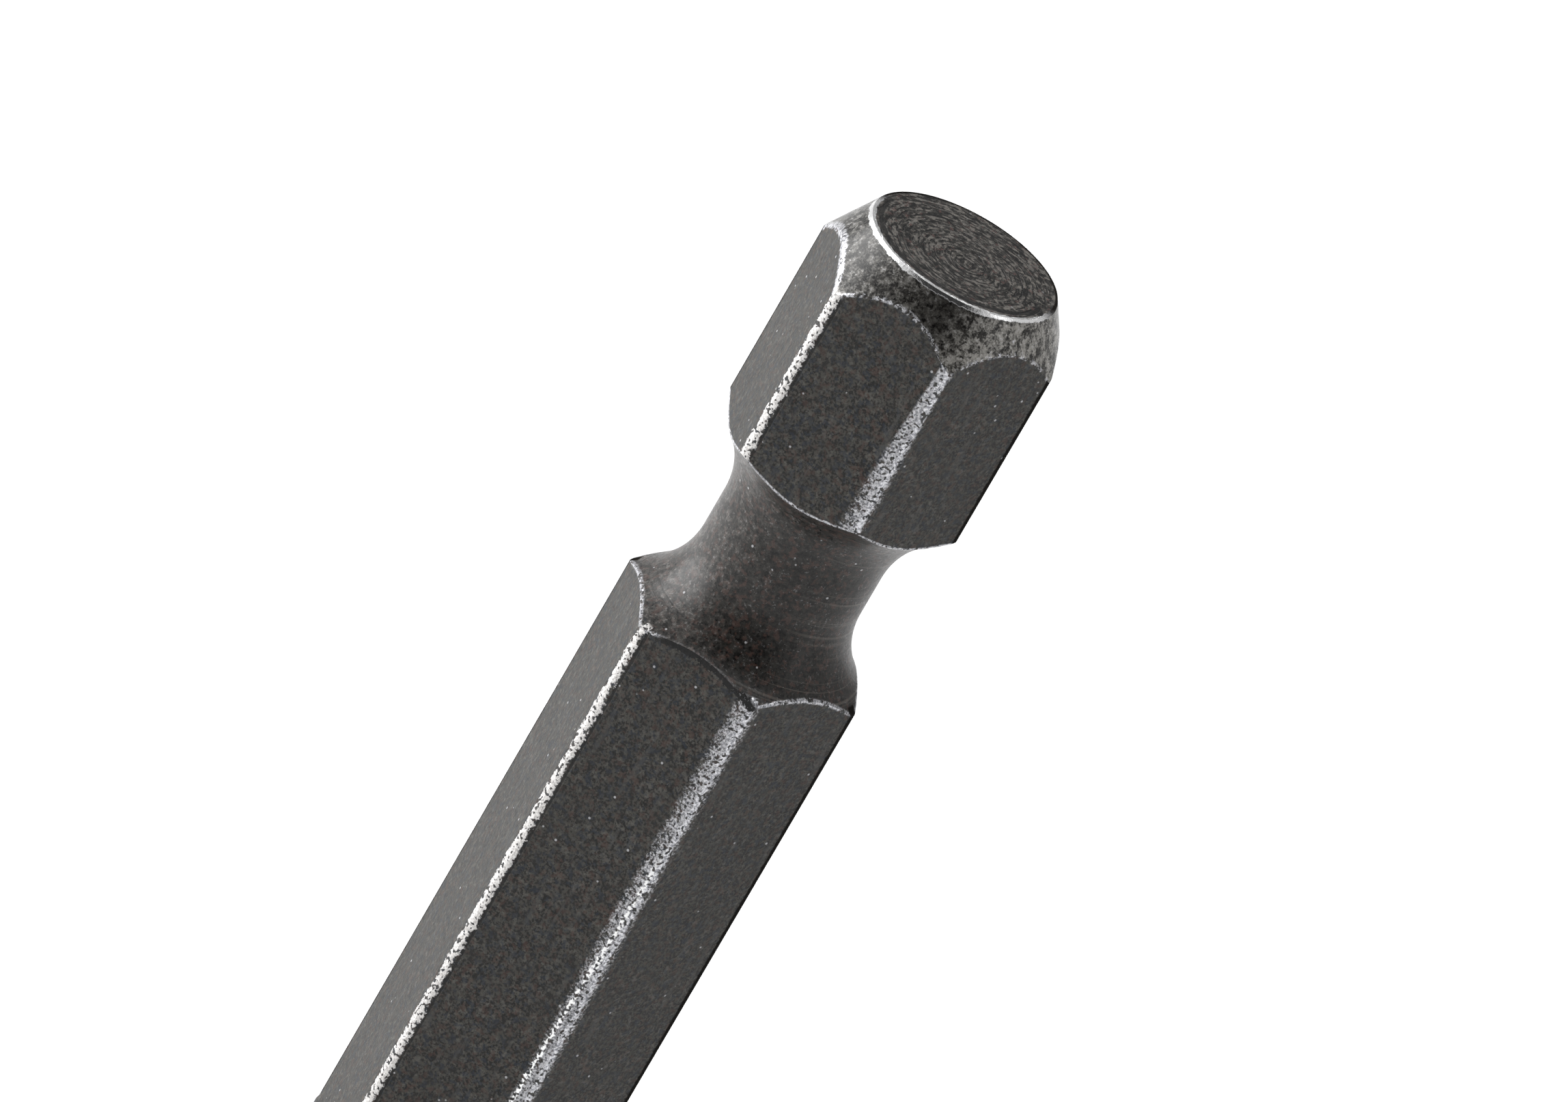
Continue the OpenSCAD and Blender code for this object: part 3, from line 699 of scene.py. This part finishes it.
def buildBarrel():
    low, high = boxMm("barrel")
    outer = high.x
    grip = low.z + barrel["gripStart"]
    gripEnd = grip + barrel["gripLength"]
    neck = boxMm("lock_ring")[0].z - 1.5
    root = outer - barrel["knurlDepth"] - 0.02
    crest = barrel["threadRadius"]
    core = crest - barrel["threadDepth"]
    front, rear = barrel["frontBore"], barrel["rearBore"]
    body = Outline(front, low.z)
    body.to((outer - 0.4, low.z), (outer - 0.1, low.z + 0.15), (outer, low.z + 0.4), (outer, grip - 1.1),
            (outer - 0.1, grip - 1.0), (root, grip - 1.0), (root, gripEnd + 1.0),
            (outer - 0.1, gripEnd + 1.0), (outer, gripEnd + 1.1), (outer, neck - 0.6),
            (outer - 0.15, neck - 0.25), (outer - 0.6, neck),
            (core - 0.14, neck), (core - 0.14, neck + 0.5), (core, neck + 0.6),
            (core, high.z - 0.5), (core - 0.4, high.z), (rear, high.z), (rear, barrel["taperTop"]),
            (front, barrel["taperFoot"])).close()
    finishPiece(body.spun(160), "barrelBody", "barrel", "black_oxide", plainOxide, "barrel")
    sleeve = knurledSleeve(grip, gripEnd, outer, barrel["knurlDepth"], root - 0.3,
                           barrel["knurlsAround"], barrel["knurlRows"])
    finishPiece(sleeve, "barrelKnurl", "barrel", "black_oxide", gripOxide, sharp=5.0)

    # the adjusting thread: one trapezoid of metal wound round the neck
    pitch = barrel["threadPitch"]
    start, end = neck + 0.55, high.z - 0.5 - pitch
    thread = Outline(core - 0.05, start)
    thread.to((core + 0.04, start), (crest, start + pitch * 0.42), (crest, start + pitch * 0.55),
              (core + 0.04, start + pitch * 0.96), (core - 0.05, start + pitch * 0.96)).close()
    bm = thread.bm
    steps = 40
    turns = int((end - start) / pitch)
    bmesh.ops.spin(bm, geom=bm.verts[:] + bm.edges[:], cent=(0, 0, 0), axis=(0, 0, 1),
                   dvec=(0, 0, pitch / steps), angle=2 * math.pi * turns, steps=steps * turns)
    fillHoles(bm)
    finishPiece(bm, "neckThread", "barrel", "black_oxide", plainOxide)


buildBarrel()


print("stage: springs")
springs = {
    "stroke": 8.0,
    "tripShift": 0.8,
    "main": {"outer": 10.0, "wire": 1.4, "turns": 8},
    "return": {"outer": 8.2, "wire": 0.6, "turns": 6},
    "trip": {"outer": 1.6, "wire": 0.25, "turns": 6},
}


def buildSprings():
    low, high = boxMm("main_spring")
    coil = coiledWire(low.z, high.z, **springs["main"])
    mainSpring = finishPiece(coil, "mainSpringWire", "seat", "spring_steel", wireSteel,
                             "main_spring", sharp=60)
    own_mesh(mainSpring)

    low, high = boxMm("return_spring")
    coil = coiledWire(low.z, high.z, **springs["return"])
    returnSpring = finishPiece(coil, "returnSpringWire", "barrel", "spring_steel", wireSteel,
                               "return_spring", sharp=60)
    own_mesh(returnSpring)

    # the small one that pushes the trip block off centre lies across the tool
    low, high = boxMm("trip_spring")
    coil = coiledWire(low.x, high.x, **springs["trip"])
    turned = Matrix.Translation((0, 0, (low.z + high.z) / 2)) @ Matrix.Rotation(math.radians(90), 4, "Y")
    bmesh.ops.transform(coil, matrix=turned, verts=coil.verts[:])
    tripSpring = finishPiece(coil, "tripSpringWire", "hammer", "spring_steel", wireSteel,
                             "trip_spring", sharp=60)
    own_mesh(tripSpring)


buildSprings()


print("stage: carried-over pieces")
carriedOver = {
    "shank_pin": pinSteel, "thrust_washer": bronze, "spring_seat": ground, "lock_washer": ground,
    "nose_seal": rubber, "nose_housing": plainOxide, "nose_bush": bronze, "nose_wiper": rubber,
    "hammer_stop": ground, "hammer": ground, "trip_block": hard,
    "plunger": ground, "point_screw": screwOxide, "punch_point": hard,
}
for node, material in carriedOver.items():
    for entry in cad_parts[node].material_slots:
        entry.material = material


print("stage: studio")
studio = {
    "floorSize": 3.0,
    "floorDrop": 0.0002,
    "camera": {"azimuth": 11.44, "elevation": 24.69, "roll": 30.29, "lens": 577.94, "distance": 650.9,
               "right": 4.685, "up": 7.637},  # degrees, and millimetres from the end face
    "glow": 0.42,  # of the whole tent
    "leastGlow": 0.03,
    # a direction, its strength, and the cosines at which it begins and is full
    "bright": (((0, 0, 1), 6.6, 0.90, 0.99), ((-1, 0.1, 0.35), 0.45, 0.35, 0.95),
               ((1, 0.1, 0.3), 0.14, 0.5, 0.95)),
    "dark": (((0.18, -0.72, 0.67), 0.93, 0.70, 0.90), ((-0.1, 1, 0.5), 0.40, 0.6, 0.95)),
    "leftPanel": {"spot": (-0.60, -0.06, 0.20), "size": (0.56, 0.46), "watts": 3.9},
    "rightPanel": {"spot": (1.2, -0.1, 0.5), "size": (0.3, 0.9), "watts": 0.6},
    "panelsLookAt": (0, 0, 0.08),
}


def buildFloor():
    bm = bmesh.new()
    bmesh.ops.create_grid(bm, x_segments=2, y_segments=2, size=studio["floorSize"] / 2,
                          matrix=Matrix.Translation((0, 0, -studio["floorDrop"])))
    mesh = bpy.data.meshes.new("floor")
    bm.to_mesh(mesh)
    bm.free()
    f = Finish("paleFloor")
    here = f.place()[0]
    tone = f.tint(f.grain(here, 0.01), (0.90, 0.90, 0.90), (0.93, 0.93, 0.93))
    mesh.materials.append(f.surface(tone, 0.0, 0.75, **{"Specular IOR Level": 0.2}))
    floor = bpy.data.objects.new("floor", mesh)
    scene.collection.objects.link(floor)


def buildWorld():
    world = bpy.data.worlds.new("lightTent")
    world.use_nodes = True
    scene.world = world
    f = Finish("lightTent", world.node_tree)
    towards = f.node("ShaderNodeTexCoord", output=0)

    def facing(direction):
        aim = Vector(direction).normalized()
        return f.node("ShaderNodeVectorMath", {"operation": "DOT_PRODUCT"},
                      {0: towards, 1: tuple(aim)}, output=1)

    glow = studio["glow"]
    for direction, strength, begins, full in studio["bright"]:
        glow = glow + strength * f.rise(facing(direction), begins, full)
    for direction, strength, begins, full in studio["dark"]:
        glow = glow * (1 - strength * f.rise(facing(direction), begins, full))
    glow = f.most(glow, studio["leastGlow"])
    colour = f.node("ShaderNodeCombineColor", None, {0: glow, 1: glow, 2: glow})
    background = f.node("ShaderNodeBackground", None, {"Color": colour, "Strength": 1.0})
    f.node("ShaderNodeOutputWorld", None, {"Surface": background})


def buildCamera():
    wish = studio["camera"]
    a, e, roll = (math.radians(wish[key]) for key in ("azimuth", "elevation", "roll"))
    right = Vector((math.cos(a), math.sin(a), 0))
    up = Vector((-math.sin(a) * math.sin(e), math.cos(a) * math.sin(e), math.cos(e)))
    back = Vector((math.sin(a) * math.cos(e), -math.cos(a) * math.cos(e), math.sin(e)))
    across = right * math.cos(roll) + up * math.sin(roll)
    above = up * math.cos(roll) - right * math.sin(roll)
    endFace = Vector((0, 0, boxMm("drive_shank")[1].z))
    spot = (endFace - across * wish["right"] - above * wish["up"] + back * wish["distance"]) * mm
    turn = Matrix((across, above, back)).transposed().to_4x4()
    data = bpy.data.cameras.new("camera")
    data.lens = wish["lens"]
    data.sensor_width = 36.0
    data.sensor_fit = "HORIZONTAL"
    data.clip_start = 0.01
    data.clip_end = 10.0
    camera = bpy.data.objects.new("camera", data)
    camera.matrix_world = Matrix.Translation(spot) @ turn
    scene.collection.objects.link(camera)
    scene.camera = camera


def buildLamp(name, spot, size, watts):  # a soft panel that looks at the tool's middle
    data = bpy.data.lights.new(name, "AREA")
    data.shape = "RECTANGLE"
    data.size, data.size_y = size
    data.energy = watts
    lamp = bpy.data.objects.new(name, data)
    lamp.location = spot
    lamp.rotation_euler = (Vector(studio["panelsLookAt"]) - Vector(spot)).to_track_quat("-Z", "Y").to_euler()
    lamp.visible_camera = False
    scene.collection.objects.link(lamp)


buildFloor()
buildWorld()
buildCamera()
for panel in ("leftPanel", "rightPanel"):
    buildLamp(panel, **studio[panel])

print("stage: done")
